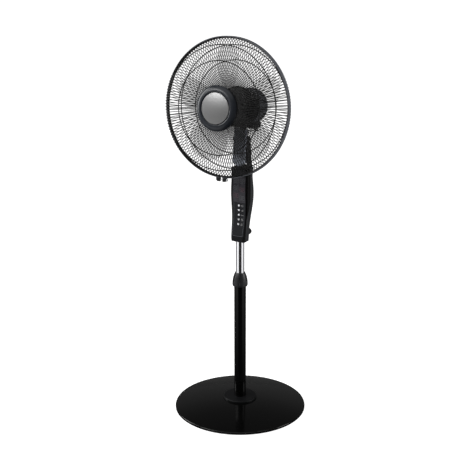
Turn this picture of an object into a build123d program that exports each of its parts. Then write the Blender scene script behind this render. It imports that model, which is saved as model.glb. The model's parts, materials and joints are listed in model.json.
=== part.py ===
from build123d import *
import os
from math import cos, radians, sin, sqrt

# A pedestal fan: round base, telescopic pole, control housing, and a caged head that tilts and swings.
# Millimetres. +Z is up, the origin is on the floor under the pole, and the fan blows towards -Y.
# The head is drawn level, with its origin on the tilt axis: "front" is the distance ahead of that axis
# and "up" the height above it. The whole head is then leaned back to its resting angle.

# Clearances
seat = 0.05        # all round, between pieces that are fixed in one another
running = 0.05     # all round, between a shaft and its bore
moving = 0.3       # between pieces that slide or turn past one another

# Base
base_radius = 200.0
base_floor_gap = 2.5
base_rim_height = 7.0
base_edge_round = 3.5
base_height = 30.0
base_bulge = 3.0
base_wall = 3.0
foot_radius = 10.0
foot_height = 4.0
foot_circle_radius = 120.0
foot_count = 5
weight_radius = 140.0
weight_thickness = 9.0
weight_boss_radius = 32.0
weight_pocket_radius = 26.0
weight_web = 7.0
hub_radius = 51.0
hub_thickness = 7.0
hub_edge_round = 3.5

# Bolt that pulls the base up against the pole
base_bolt_radius = 6.0
base_bolt_head_width = 19.0
base_bolt_head_height = 8.0
base_bolt_grip = 24.0
base_washer_radius = 18.0
base_washer_thickness = 1.6
bolt_hole_slack = 0.4
plug_length = 30.0

# Pole
outer_tube_radius = 18.0
outer_tube_wall = 1.2
outer_tube_length = 367.0
inner_tube_radius = 13.0
inner_tube_wall = 1.0
inner_tube_length = 370.0
inner_tube_bottom = 190.0
guide_length = 24.0

# Collet and clamping collar at the top of the outer tube
collet_depth = 30.0
collet_flange = 3.0
collet_cone_height = 21.0
collet_tip_wall = 2.2
collet_slot_width = 2.0
collet_slot_count = 4
collar_overlap = 5.0
collar_height = 42.0
collar_radius = 23.0
collar_top_wall = 1.6
collar_bulge = 2.6
collar_foot_height = 3.0
collar_foot_step = 0.8
flute_count = 6
flute_radius = 3.4
flute_depth = 1.3

# Control housing: height above its bottom, half width, reach to the front and reach to the rear
housing_bottom = 541.0
housing_height = 221.0
housing_outline = (
    (0.0, 23.3, 16.4, 16.0),
    (22.0, 24.2, 15.9, 16.6),
    (57.0, 26.0, 9.0, 19.3),
    (107.0, 28.8, 6.2, 30.0),
    (147.0, 29.7, 7.5, 33.8),
    (housing_height, 29.2, 8.5, 34.5),
)
housing_corner = 7.0
housing_wall = 2.2
# Line between the front and rear covers: height above the housing's bottom, and how far back it lies
seam_line = (
    (0.0, -10.5),
    (44.0, -7.5),
    (69.5, -5.0),
    (94.5, 1.7),
    (120.0, 8.9),
    (157.0, 10.5),
    (housing_height, 11.0),
)
screw_radius = 1.5
screw_head_radius = 3.0
screw_head_height = 2.4
screw_boss_wall = 2.2
screw_grip = 7.0
housing_screw_offset = 22.5
housing_screw_heights = (110.0, 203.0)

# Display, buttons and their board
lens_width = 42.0
lens_height = 78.0
lens_middle = 158.0
button_radius = 3.0
button_proud = 1.4
button_flange = 1.0
button_flange_thickness = 1.0
button_stem_radius = 1.6
button_travel = 1.0
button_flange_gap = 0.9
top_button_height = 109.7
button_pitch = 14.15
button_names = ("power_button", "speed_button", "swing_button", "timer_button", "mode_button")
board_front = 1.2
board_thickness = 1.6
board_width = 36.0
board_bottom = 40.0
board_top = 204.0
switch_width = 6.0

# Stem that joins the inner tube to the tilt axis
stem_spigot_length = 60.0
stem_shoulder_height = 4.0
stem_width = 18.0
stem_depth = 6.6
stem_foot_height = 15.0
stem_foot_reach = 8.0
ear_plate_thickness = 5.0
ear_plate_rear = 34.0
ear_thickness = 5.0
ear_radius = 12.0
ear_foot_front = 12.0

# Tilt axis
tilt_axis_back = 15.0
tilt_axis_height = 846.0
rest_tilt = 8.4
tilt_pin_radius = 4.0
tilt_nut_width = 12.0
tilt_nut_thickness = 5.0
tilt_knob_radius = 7.0
tilt_knob_length = 10.0
tilt_knob_lobes = 6

# Knob at the back that locks the housing to the inner tube
lock_height = 15.0
lock_screw_radius = 3.0
lock_boss_radius = 7.0
lock_boss_reach = 22.5
lock_knob_radius = 10.0
lock_knob_length = 26.0
lock_knob_start = 27.5
lock_knob_lobes = 8
cord_bush_radius = 5.0
cord_bush_bore = 3.2
cord_bush_depth = 3.8
cord_bush_height = 52.0
cord_bush_proud = 3.0

# Neck
neck_width = 29.4
neck_radius = 12.7
neck_shoulder = 24.0
neck_top_radius = 8.8
neck_top = 34.0
neck_bore_floor = 13.0
cover_front = 19.0
cover_depth = 6.5
cover_wall = 3.2
cover_top = 33.0
cover_bottom = -76.5
cover_top_half_width = 20.0
cover_bottom_half_width = 21.0
cover_flare_start = -30.0
cover_flare_end = -65.0
cover_boss_radius = 4.0
cover_boss_height = 17.0
cheek_outer = 14.0
cheek_thickness = 2.4
cheek_rear = -8.0
cheek_low = -70.0

# Swing spindle, and the crank and link that swing the head
spindle_radius = 5.0
foot_bottom = 35.0
motor_foot_radius = 18.0
motor_foot_left = 22.0
motor_foot_right = 30.0
motor_foot_length = 52.0
motor_foot_top = 60.0
spindle_depth_in_foot = 8.0
link_pin_offset = 15.5
link_pin_radius = 2.5
link_arm_thickness = 5.0
link_thickness = 3.0
link_half_width = 4.0
link_eye_wall = 3.0
link_length = 36.7
link_rest_angle = 79.0
link_open_clearance = 3.5
crank_back = 36.0
crank_throw = 10.0
crank_radius = 13.0
crank_thickness = 4.0
crank_shaft_radius = 3.0
swing_motor_radius = 10.0
swing_motor_top = 72.0
swing_motor_bore_depth = 6.0

# Motor
axis_height = 96.0
front_cover_radius = 50.0
front_cover_rear = 13.0
front_cover_front = 44.0
front_cover_round = 8.0
rear_cover_radius = 52.0
rear_cover_rear = -56.0
rear_cover_front = 9.0
rear_cover_round = 20.0
motor_wall = 2.0
vent_count = 18
vent_width = 3.2
vent_front = -14.0
vent_depth = 24.0
nut_boss_radius = 24.0
nut_boss_length = 13.0
stator_rear = -12.0
stator_front = 20.0
stator_bore_radius = 24.5
stator_slot_radius = 40.0
stator_slot_width = 7.0
stator_slot_count = 8
bracket_depth = 13.0
bracket_wall = 3.0
bracket_rim = 3.9
bracket_boss_radius = 12.0
bracket_boss_length = 8.5
bearing_radius = 8.0
winding_inner_radius = 28.0
winding_outer_radius = 43.0
winding_length = 9.0
winding_round = 3.5
stator_screw_count = 4
stator_screw_radius = 1.4
stator_screw_head = 1.8
post_radius = 4.0
post_offset = 26.0
shaft_radius = 4.0
shaft_rear = -40.0
shaft_front = 128.0
rotor_radius = 24.0

# Fan blades
blade_count = 5
blade_tip_radius = 172.0
blade_tip_round = 50.0
blade_root_round = 22.0
blade_root_reach = 40.0
blade_sweep = 14.0
blade_thickness = 2.4
blade_root_pitch = 40.0
blade_tip_pitch = 19.0
blade_middle = 100.0
blade_hub_radius = 30.0
blade_hub_rear = 82.0
blade_hub_front = 116.0
blade_hub_wall = 3.0
blade_hub_floor = 6.0
blade_boss_radius = 9.0
drive_pin_radius = 1.5
drive_pin_length = 22.0
blade_nut_radius = 16.0
blade_nut_length = 18.0
blade_nut_round = 5.0
blade_nut_cap = 5.5

# Cage
wire_radius = 1.0
wire_sides = 8
ring_wire_radius = 1.4
rim_wire_radius = 2.0
wire_count = 144
cage_middle = 104.0
rim_radius = 195.4
cage_shoulder_radius = 168.0
outer_ring_radius = 176.0
front_hub_radius = 56.0
front_hub_front = 156.4
front_ring_radius = 131.5
front_ring_front = 153.0
front_shoulder_front = 144.5
rear_hub_radius = 54.0
rear_ring_radius = 133.0
rear_ring_front = 55.6
rear_shoulder_front = 63.0
rear_plate_radius = 59.0
rear_plate_thickness = 2.0
grille_nut_radius = 38.0
grille_nut_thickness = 8.0
grille_nut_grips = 8

# Hoop that clamps the two halves of the cage
hoop_wall = 1.6
hoop_width = 15.0
hoop_lip = 0.9
hoop_gap = 9.0
lug_thickness = 12.0
lug_height = 11.0
lug_width = 7.2
hoop_screw_radius = 2.0
hoop_screw_head_radius = 3.6
hoop_screw_head_height = 2.6

# Badge in the middle of the cage
badge_radius = 64.0
badge_back = 158.4
badge_edge = 2.1
badge_front = 168.3
badge_disc_radius = 43.4
badge_groove = 2.4
badge_floor_back = 161.5
badge_floor_front = 164.5
badge_disc_dome = 3.0
badge_disc_rise = 3.8
badge_clamp_radius = 60.0
badge_clamp_thickness = 3.3
badge_screw_circle = 30.0
badge_screw_count = 3
badge_boss_radius = 4.0

# Sizes that follow from those above
hub_top = base_height + hub_thickness
tube_top = hub_top + outer_tube_length
tube_bore = outer_tube_radius - outer_tube_wall
weight_top = foot_height + weight_thickness
web_bottom = base_height - base_wall - weight_web
bolt_hole_radius = base_bolt_radius + bolt_hole_slack
inner_tube_top = inner_tube_bottom + inner_tube_length
housing_top = housing_bottom + housing_height
stem_front = board_front + board_thickness + moving
stem_rear = stem_front + stem_depth
ear_inner = neck_width / 2 + moving
ear_outer = ear_inner + ear_thickness
hoop_inner = rim_radius + rim_wire_radius + 2 * seat
hoop_radius = hoop_inner + hoop_wall
front_bracket_front = stator_front + bracket_depth
rear_bracket_rear = stator_rear - bracket_depth
stator_radius = front_cover_radius - motor_wall - seat
stator_screw_circle = stator_radius - bracket_rim / 2
plate_front = front_cover_front + rear_plate_thickness
blow_axis = Axis((0, 0, axis_height), (0, -1, 0))
head_place = Pos(0, tilt_axis_back, tilt_axis_height) * Rot(X=-rest_tilt)
housing_lock = housing_bottom + lock_height


def upright(radius, low, high, x=0.0, y=0.0):
    """Round bar that stands along Z."""
    return Pos(x, y, (low + high) / 2) * Cylinder(radius, high - low)


def sleeve(outer, inner, low, high, x=0.0, y=0.0):
    """Tube that stands along Z."""
    return upright(outer, low, high, x, y) - upright(inner, low - 1, high + 1, x, y)


def fore_and_aft(radius, rear, front, x=0.0, up=axis_height):
    """Round bar along the way the fan blows, in the head's frame."""
    return Pos(x, -(rear + front) / 2, up) * Rot(X=90) * Cylinder(radius, front - rear)


def fore_and_aft_ring(outer, inner, rear, front, x=0.0, up=axis_height):
    """Tube along the way the fan blows, in the head's frame."""
    return fore_and_aft(outer, rear, front, x, up) - fore_and_aft(inner, rear - 1, front + 1, x, up)


def crosswise(radius, left, right, y, z):
    """Round bar along X."""
    return Pos((left + right) / 2, y, z) * Rot(Y=90) * Cylinder(radius, right - left)


def rearwards(radius, front, rear, x, z):
    """Round bar along Y, given by world Y."""
    return Pos(x, (front + rear) / 2, z) * Rot(X=90) * Cylinder(radius, rear - front)


def block(left, right, front, rear, low, high):
    """Box given by its six sides."""
    centre = Pos((left + right) / 2, (front + rear) / 2, (low + high) / 2)
    return centre * Box(right - left, rear - front, high - low)


def turned(*outline):
    """Solid of revolution about Z from lines in radius and height."""
    return revolve(Plane.XZ * make_face(outline), Axis.Z)


def turned_on_axis(*outline):
    """Solid of revolution about the blowing axis from lines in radius and distance to the front."""
    plane = Plane((0, 0, axis_height), x_dir=(1, 0, 0), z_dir=(0, 0, -1))
    return revolve(plane * make_face(outline), blow_axis)


def around_axis(shape, count, start=0.0):
    """Copies of a shape, evenly spaced about the blowing axis."""
    return [shape.rotate(blow_axis, start + 360.0 * i / count) for i in range(count)]


def quarter_round(centre, radius):
    """Arc from straight up to straight out, about a centre."""
    corner = (centre[0] + radius * cos(radians(45)), centre[1] + radius * sin(radians(45)))
    return ThreePointArc((centre[0], centre[1] + radius), corner, (centre[0] + radius, centre[1]))


# Base and pole


def base_cover():
    low = base_floor_gap
    top = low + base_rim_height
    edge = base_radius - base_edge_round
    crown = ((edge + hub_radius) / 2, (top + base_height) / 2 + base_bulge)
    under_crown = (crown[0], crown[1] - base_wall)
    inside = base_radius - base_wall
    return turned(
        Line((bolt_hole_radius, base_height), (hub_radius, base_height)),
        ThreePointArc((hub_radius, base_height), crown, (edge, top)),
        quarter_round((edge, top - base_edge_round), base_edge_round),
        Polyline(
            (base_radius, top - base_edge_round),
            (base_radius, low),
            (inside, low),
            (inside, top - base_wall - base_edge_round / 2),
            (edge - base_edge_round / 2, top - base_wall),
        ),
        ThreePointArc(
            (edge - base_edge_round / 2, top - base_wall), under_crown, (hub_radius, base_height - base_wall)
        ),
        Polyline(
            (hub_radius, base_height - base_wall),
            (bolt_hole_radius, base_height - base_wall),
            (bolt_hole_radius, base_height),
        ),
    )


def base_weight():
    return turned(
        Polyline(
            (bolt_hole_radius, base_height - base_wall),
            (weight_boss_radius, base_height - base_wall),
            (weight_boss_radius, weight_top),
            (weight_radius, weight_top),
            (weight_radius, foot_height),
            (weight_pocket_radius, foot_height),
            (weight_pocket_radius, web_bottom),
            (bolt_hole_radius, web_bottom),
            close=True,
        )
    )


def base_feet():
    pad = upright(foot_radius, 0, foot_height)
    pad = fillet(pad.edges().group_by(Axis.Z)[0], foot_height / 4)
    return Compound([place * pad for place in PolarLocations(foot_circle_radius, foot_count, 18)])


def base_washer():
    return sleeve(base_washer_radius, bolt_hole_radius, web_bottom - base_washer_thickness, web_bottom)


def base_bolt():
    head_top = web_bottom - base_washer_thickness
    head = extrude(RegularPolygon(base_bolt_head_width / 2, 6, major_radius=False), base_bolt_head_height)
    return Pos(0, 0, head_top - base_bolt_head_height) * head + upright(
        base_bolt_radius, head_top, hub_top + base_bolt_grip
    )


def hub_flange():
    disc = sleeve(hub_radius, bolt_hole_radius, base_height, hub_top)
    rim = disc.edges().filter_by(GeomType.CIRCLE).group_by(Axis.Z)[-1].sort_by(SortBy.LENGTH)[-1]
    return fillet(rim, hub_edge_round)


def tube_plug():
    plug = upright(tube_bore - seat, hub_top, hub_top + plug_length)
    return plug - upright(base_bolt_radius + running, hub_top - 1, hub_top + base_bolt_grip + 1)


def outer_tube():
    return sleeve(outer_tube_radius, tube_bore, hub_top, tube_top)


def tube_collet():
    bore = inner_tube_radius + moving
    body = turned(
        Polyline(
            (bore, tube_top - collet_depth),
            (tube_bore - seat, tube_top - collet_depth),
            (tube_bore - seat, tube_top),
            (outer_tube_radius, tube_top),
            (outer_tube_radius, tube_top + collet_flange),
            (bore + collet_tip_wall, tube_top + collet_flange + collet_cone_height),
            (bore, tube_top + collet_flange + collet_cone_height),
            close=True,
        )
    )
    reach = 2 * outer_tube_radius
    slot_low = tube_top + 2 * collet_flange
    slot = block(0, reach, -collet_slot_width / 2, collet_slot_width / 2, slot_low, slot_low + reach)
    for i in range(collet_slot_count):
        body -= Rot(Z=360.0 * i / collet_slot_count) * slot
    return body


def height_collar():
    low = tube_top - collar_overlap
    top = low + collar_height
    skirt = outer_tube_radius + moving
    bore = inner_tube_radius + moving
    tip = bore + collet_tip_wall + moving
    tip_height = tube_top + collet_flange + collet_cone_height + moving
    crown_radius = bore + collar_top_wall
    foot = collar_radius - collar_foot_step
    waist = low + collar_foot_height
    side = ((collar_radius + crown_radius) / 2 + collar_bulge, (waist + top) / 2)
    bell = turned(
        Polyline((skirt, low), (foot, low), (collar_radius, waist)),
        ThreePointArc((collar_radius, waist), side, (crown_radius, top)),
        Polyline(
            (crown_radius, top),
            (bore, top),
            (bore, tip_height),
            (tip, tip_height),
            (skirt, tube_top + collet_flange + moving),
            (skirt, low),
        ),
    )
    lean = (collar_radius - crown_radius) / (top - waist)
    flute_top = (crown_radius + flute_radius - flute_depth, top)
    flute_low = (collar_radius + collar_bulge + flute_radius - flute_depth, low - lean)
    path = Plane.XZ * Line(flute_low, flute_top)
    flute = sweep(Plane(path @ 0, z_dir=path % 0) * Circle(flute_radius), path)
    for i in range(flute_count):
        bell -= Rot(Z=360.0 * i / flute_count) * flute
    return bell


def inner_tube():
    return sleeve(inner_tube_radius, inner_tube_radius - inner_tube_wall, inner_tube_bottom, inner_tube_top)


def tube_guide():
    return sleeve(tube_bore - moving, inner_tube_radius + seat, inner_tube_bottom, inner_tube_bottom + guide_length)


# Control housing


def housing_form(inset):
    """Lofted form of the housing, drawn in by an inset on every side."""
    sections = []
    for height, half_width, front, rear in housing_outline:
        level = housing_bottom + min(max(height, inset), housing_height - inset)
        outline = RectangleRounded(
            2 * (half_width - inset), front + rear - 2 * inset, housing_corner - inset
        )
        sections.append(Pos(0, (rear - front) / 2, level) * outline)
    return loft(sections)


housing_solid = housing_form(0.0)
housing_shell = housing_solid - housing_form(housing_wall)


def housing_span(height, x=0.0):
    """World Y of the housing's front and rear at a height above its bottom."""
    level = housing_bottom + height
    ray = Edge.make_line((x, -base_radius, level), (x, base_radius, level))
    inside = ray.intersect(housing_solid)
    ends = [vertex.Y for edge in inside for vertex in edge.vertices()]
    return min(ends), max(ends)


def seam_at(height):
    """World Y of the line between the two covers."""
    for (low, low_y), (high, high_y) in zip(seam_line, seam_line[1:]):
        if height <= high:
            return low_y + (high_y - low_y) * (height - low) / (high - low)
    return seam_line[-1][1]


def ahead_of_seam():
    """Everything in front of the line between the two covers."""
    far = -base_radius
    points = [(y, housing_bottom + height) for height, y in seam_line]
    lowest = (points[0][0], housing_bottom - 1)
    highest = (points[-1][0], housing_top + 1)
    outline = Polyline(
        lowest, *points, highest, (far, highest[1]), (far, lowest[1]), close=True
    )
    return extrude(Plane.YZ * make_face(outline), base_radius, both=True)


def button_heights():
    return [top_button_height - button_pitch * i for i in range(len(button_names))]


def lens_block(margin):
    half = lens_width / 2 + margin
    low = housing_bottom + lens_middle - lens_height / 2 - margin
    return block(-half, half, -base_radius, 0, low, low + lens_height + 2 * margin)


def housing_screw_places():
    return [(x, h) for x in (-housing_screw_offset, housing_screw_offset) for h in housing_screw_heights]


def screw_head_seat(x, height):
    """World Y where the head of a housing screw bears."""
    rear = housing_span(height, x)[1]
    return max(seam_at(height) + screw_grip, rear - 2 * screw_head_height)


def control_front_cover():
    cover = housing_shell & ahead_of_seam()
    cover -= lens_block(moving)
    for height in button_heights():
        front = housing_span(height)[0]
        cover -= rearwards(
            button_radius + moving, front - housing_wall, front + 2 * housing_wall, 0, housing_bottom + height
        )
    for x, height in housing_screw_places():
        front = housing_span(height, x)[0]
        level = housing_bottom + height
        radius = screw_radius + screw_boss_wall
        cover += rearwards(radius, front + housing_wall / 2, seam_at(height) - seat, x, level) & housing_solid
        cover -= rearwards(screw_radius + running, seam_at(height) - screw_grip - 1, seam_at(height) + 1, x, level)
    cover -= block(
        -stem_width / 2 - moving,
        stem_width / 2 + moving,
        stem_front - moving,
        stem_rear + moving,
        housing_top - 2 * housing_wall,
        housing_top + 1,
    )
    return cover - upright(inner_tube_radius + moving, housing_bottom - 1, housing_bottom + 2 * housing_wall)


def control_rear_cover():
    cover = housing_shell - ahead_of_seam()
    for x, height in housing_screw_places():
        rear = housing_span(height, x)[1]
        level = housing_bottom + height
        head = screw_head_seat(x, height)
        pocket = screw_head_radius + moving
        boss = rearwards(pocket + screw_boss_wall, seam_at(height), rear - seat, x, level) & housing_solid
        cover += boss - ahead_of_seam()
        cover -= rearwards(pocket, head, rear + housing_wall, x, level)
        cover -= rearwards(screw_radius + moving, seam_at(height) - 1, rear, x, level)
    cover -= upright(inner_tube_radius + moving, housing_bottom - 1, housing_bottom + 2 * housing_wall)
    wall_front = inner_tube_radius + moving
    cover += rearwards(lock_boss_radius, wall_front, lock_boss_reach, 0, housing_lock)
    cover -= upright(wall_front, housing_bottom - 1, inner_tube_top + stem_shoulder_height + moving)
    cover -= rearwards(lock_screw_radius + running, wall_front - 1, lock_boss_reach + 1, 0, housing_lock)
    cord_rear = housing_span(cord_bush_height)[1]
    return cover - rearwards(
        cord_bush_radius + seat,
        cord_rear - 2 * housing_wall,
        cord_rear + housing_wall,
        0,
        housing_bottom + cord_bush_height,
    )


def display_lens():
    return housing_shell & lens_block(0.0)


def display_module():
    half = lens_width / 2 - housing_wall / 2
    low = housing_bottom + lens_middle - lens_height / 2 + housing_wall
    high = housing_bottom + lens_middle + lens_height / 2 - housing_wall
    front = display_lens().bounding_box().max.Y + moving
    return block(-half, half, front, board_front, low, high)


def stem_end(height):
    """World Y of the inner end of a button's stem."""
    front = housing_span(height)[0]
    return front + housing_wall + button_flange_gap + 2 * button_flange_thickness


def control_board():
    half = board_width / 2
    low = housing_bottom + board_bottom
    high = housing_bottom + board_top
    board = block(-half, half, board_front, board_front + board_thickness, low, high)
    for height in button_heights():
        level = housing_bottom + height
        cap = stem_end(height) + button_travel + seat
        side = switch_width / 2
        board += block(-side, side, cap, board_front + board_thickness / 2, level - side, level + side)
    return board


def push_button(height):
    front = housing_span(height)[0]
    level = housing_bottom + height
    flange = front + housing_wall + button_flange_gap
    cap = rearwards(button_radius, front - button_proud, flange, 0, level)
    cap = fillet(cap.edges().group_by(Axis.Y)[0], button_proud / 2)
    cap += rearwards(button_radius + button_flange, flange, flange + button_flange_thickness, 0, level)
    return cap + rearwards(button_stem_radius, flange, stem_end(height), 0, level)


def housing_screws():
    screws = []
    for x, height in housing_screw_places():
        head = screw_head_seat(x, height)
        level = housing_bottom + height
        shank = rearwards(screw_radius, seam_at(height) - screw_grip, head, x, level)
        top = rearwards(screw_head_radius, head, head + screw_head_height, x, level)
        slot = block(
            x - screw_head_radius, x + screw_head_radius,
            head + screw_head_height / 2, head + screw_head_height + 1,
            level - screw_radius / 3, level + screw_radius / 3,
        )
        screws.append(shank + top - slot)
    return Compound(screws)


def cord_bush():
    rear = housing_span(cord_bush_height)[1]
    level = housing_bottom + cord_bush_height
    front = rear - cord_bush_depth
    bush = rearwards(cord_bush_radius, front, rear + cord_bush_proud, 0, level)
    bush = fillet(bush.edges().group_by(Axis.Y)[-1], cord_bush_proud / 3)
    return bush - rearwards(cord_bush_bore, front - 1, rear + cord_bush_proud + 1, 0, level)


def knob_head(radius, length, lobes):
    """Gripping head of a knob along +Z, with a scalloped edge and rounded end."""
    head = upright(radius, 0, length)
    head = fillet(head.edges().group_by(Axis.Z)[-1], radius / 4)
    scallop = upright(radius / 4, -1, length + 1, radius * 1.12)
    for i in range(lobes):
        head -= Rot(Z=360.0 * i / lobes) * scallop
    return head


def lock_knob():
    tip = inner_tube_radius + moving
    head = Rot(X=-90) * knob_head(lock_knob_radius, lock_knob_length, lock_knob_lobes)
    shank = rearwards(lock_screw_radius, tip, lock_knob_start + 1, 0, housing_lock)
    collar = rearwards(2 * lock_screw_radius, lock_boss_reach + moving, lock_knob_start + 1, 0, housing_lock)
    return Pos(0, lock_knob_start, housing_lock) * head + shank + collar


# Stem and tilt axis


def stem_bracket():
    bore = inner_tube_radius - inner_tube_wall
    half = stem_width / 2
    stem = upright(bore - seat, inner_tube_top - stem_spigot_length, inner_tube_top)
    stem += upright(bore + inner_tube_wall / 2, inner_tube_top, inner_tube_top + stem_shoulder_height)
    stem += block(
        -half, half, -stem_foot_reach, stem_rear, inner_tube_top, inner_tube_top + stem_foot_height
    )
    stem += block(-half, half, stem_front, stem_rear, inner_tube_top, housing_top + ear_plate_thickness)
    stem += block(
        -ear_outer, ear_outer, stem_front, ear_plate_rear, housing_top, housing_top + ear_plate_thickness
    )
    foot_level = housing_top + ear_plate_thickness / 2
    eye = Pos(tilt_axis_back, tilt_axis_height) * Circle(ear_radius)
    base_line = Line((ear_foot_front, foot_level), (ear_plate_rear, foot_level))
    outline = make_hull(eye.edges() + [base_line])
    ear = extrude(Plane.YZ * outline, ear_thickness)
    stem += Pos(ear_inner, 0, 0) * ear
    stem += Pos(-ear_outer, 0, 0) * ear
    return stem - crosswise(
        tilt_pin_radius + seat, -ear_outer - 1, ear_outer + 1, tilt_axis_back, tilt_axis_height
    )


def tilt_pin():
    left = -ear_outer - 0.7 * tilt_knob_length
    right = ear_outer + tilt_nut_thickness
    return crosswise(tilt_pin_radius, left, right, tilt_axis_back, tilt_axis_height)


def tilt_nut():
    face = RegularPolygon(tilt_nut_width / 2, 6, major_radius=False) - Circle(tilt_pin_radius + seat)
    nut = Rot(Y=90) * extrude(face, tilt_nut_thickness)
    return Pos(ear_outer, tilt_axis_back, tilt_axis_height) * nut


def tilt_knob():
    knob = knob_head(tilt_knob_radius, tilt_knob_length, tilt_knob_lobes)
    knob -= upright(tilt_pin_radius + running, -1, 0.7 * tilt_knob_length)
    return Pos(-ear_outer - moving, tilt_axis_back, tilt_axis_height) * Rot(Y=-90) * knob


# Neck, in the head's frame


def neck_block():
    half = neck_width / 2
    neck = crosswise(ear_radius, -half, half, 0, 0)
    neck += upright(neck_radius, 0, neck_shoulder) + upright(neck_top_radius, neck_shoulder, neck_top)
    arm_top = neck_shoulder + seat
    arm_low = arm_top - link_arm_thickness
    arm_half = link_pin_radius + link_eye_wall / 2
    neck += block(0, link_pin_offset, -arm_half, arm_half, arm_low, arm_top)
    neck += upright(arm_half, arm_low, arm_top, link_pin_offset)
    neck += upright(link_pin_radius, arm_top, arm_top + link_thickness + 4 * moving, link_pin_offset)
    neck -= crosswise(tilt_pin_radius + running, -half - 1, half + 1, 0, 0)
    return neck - upright(spindle_radius + running, neck_bore_floor, neck_top + 1)


def cover_outline(inset):
    """Front view of the neck cover, drawn in by an inset."""
    top = cover_top_half_width - inset
    low = cover_bottom_half_width - inset
    bottom = cover_bottom + inset
    flare = Spline((top, cover_flare_start), (low, cover_flare_end), tangents=((0, -1), (0.12, -1)))
    mirrored = Spline((-low, cover_flare_end), (-top, cover_flare_start), tangents=((0.12, 1), (0, 1)))
    return make_face(
        [
            Line((top, cover_top), (top, cover_flare_start)),
            flare,
            ThreePointArc((low, cover_flare_end), (0, bottom), (-low, cover_flare_end)),
            mirrored,
            Polyline((-top, cover_flare_start), (-top, cover_top), (top, cover_top)),
        ]
    )


def neck_cover():
    rear = cover_front - cover_depth
    inside = cover_front - cover_wall
    cover = Pos(0, -rear, 0) * extrude(Plane.XZ * cover_outline(0.0), cover_depth)
    hollow = Pos(0, -rear + 1, 0) * extrude(Plane.XZ * cover_outline(cover_wall), inside - rear + 1)
    cover = cover - hollow - Pos(0, 0, cover_wall) * hollow
    front_edges = cover.faces().sort_by(Axis.Y)[0].outer_wire().edges()
    cover = fillet(front_edges, 0.9 * cover_wall)
    # Cheeks that close the space between the ears
    cheek_top = -ear_radius - moving
    for x in (-cheek_outer, cheek_outer - cheek_thickness):
        cover += block(x, x + cheek_thickness, -inside - seat, -cheek_rear, cheek_low, cheek_top)
    boss_rear = neck_radius + 2 * seat
    return cover + fore_and_aft(cover_boss_radius, boss_rear, inside + seat, 0, cover_boss_height)


# Swing drive, in the head's frame


def motor_foot():
    foot = upright(motor_foot_radius, foot_bottom, motor_foot_top)
    foot += block(-motor_foot_left, motor_foot_right, 0, motor_foot_length, foot_bottom, motor_foot_top)
    foot = fillet(foot.edges().filter_by(Axis.Z).group_by(Axis.Y)[-1], motor_foot_radius / 3)
    foot -= fore_and_aft(rear_cover_radius + seat, -2 * motor_foot_length, 2 * motor_foot_length)
    foot -= upright(spindle_radius + seat, foot_bottom - 1, foot_bottom + spindle_depth_in_foot)
    return foot - upright(
        crank_shaft_radius + running, foot_bottom - 1, motor_foot_top, link_pin_offset, crank_back
    )


def swing_spindle():
    return upright(spindle_radius, neck_bore_floor + moving, foot_bottom + spindle_depth_in_foot - seat)


def swing_motor():
    bore_top = axis_height - rear_cover_radius + swing_motor_radius + swing_motor_bore_depth
    can = upright(swing_motor_radius, foot_bottom, swing_motor_top, link_pin_offset, crank_back)
    can = can & rear_cover_cavity(2 * seat)
    return can - upright(
        crank_shaft_radius + running, foot_bottom, bore_top, link_pin_offset, crank_back
    )


def link_bottom():
    return neck_shoulder + seat + moving


def swing_crank():
    top = foot_bottom - moving
    bottom = top - crank_thickness
    shaft_top = axis_height - rear_cover_radius + swing_motor_radius + swing_motor_bore_depth - moving
    crank = upright(crank_radius, bottom, top, link_pin_offset, crank_back)
    crank += upright(crank_shaft_radius, top, shaft_top, link_pin_offset, crank_back)
    pin_x = link_pin_offset + crank_throw
    return crank + upright(link_pin_radius, link_bottom() - moving, bottom, pin_x, crank_back)


def swing_link():
    low = link_bottom()
    high = low + link_thickness
    eye_radius = link_pin_radius + link_eye_wall
    open_radius = link_pin_radius + link_open_clearance
    bar = block(0, link_length, -link_half_width, link_half_width, low, high)
    bar += upright(eye_radius, low, high)
    bar += upright(open_radius + link_eye_wall, low, high, link_length)
    bar -= upright(link_pin_radius + running, low - 1, high + 1)
    bar -= upright(open_radius, low - 1, high + 1, link_length)
    return Pos(link_pin_offset, 0, 0) * Rot(Z=link_rest_angle) * bar


# Motor, in the head's frame


def motor_front_cover():
    inside = front_cover_radius - motor_wall
    cup = fore_and_aft(front_cover_radius, front_cover_rear, front_cover_front)
    cup = fillet(cup.edges().group_by(Axis.Y)[0], front_cover_round)
    cup += fore_and_aft(nut_boss_radius, front_cover_front - motor_wall, front_cover_front + nut_boss_length)
    cavity = fore_and_aft(inside, front_cover_rear - 1, front_cover_front - motor_wall)
    cavity = fillet(cavity.edges().group_by(Axis.Y)[0], front_cover_round - motor_wall)
    cup -= cavity
    return cup - fore_and_aft(bearing_radius, front_cover_rear, front_cover_front + nut_boss_length + 1)


def rear_cover_cavity(gap):
    """Space inside the rear cover, less a gap all round."""
    inset = motor_wall + gap
    cavity = fore_and_aft(rear_cover_radius - inset, rear_cover_rear + inset, rear_cover_front + 1)
    return fillet(cavity.edges().group_by(Axis.Y)[-1], rear_cover_round - inset)


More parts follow.
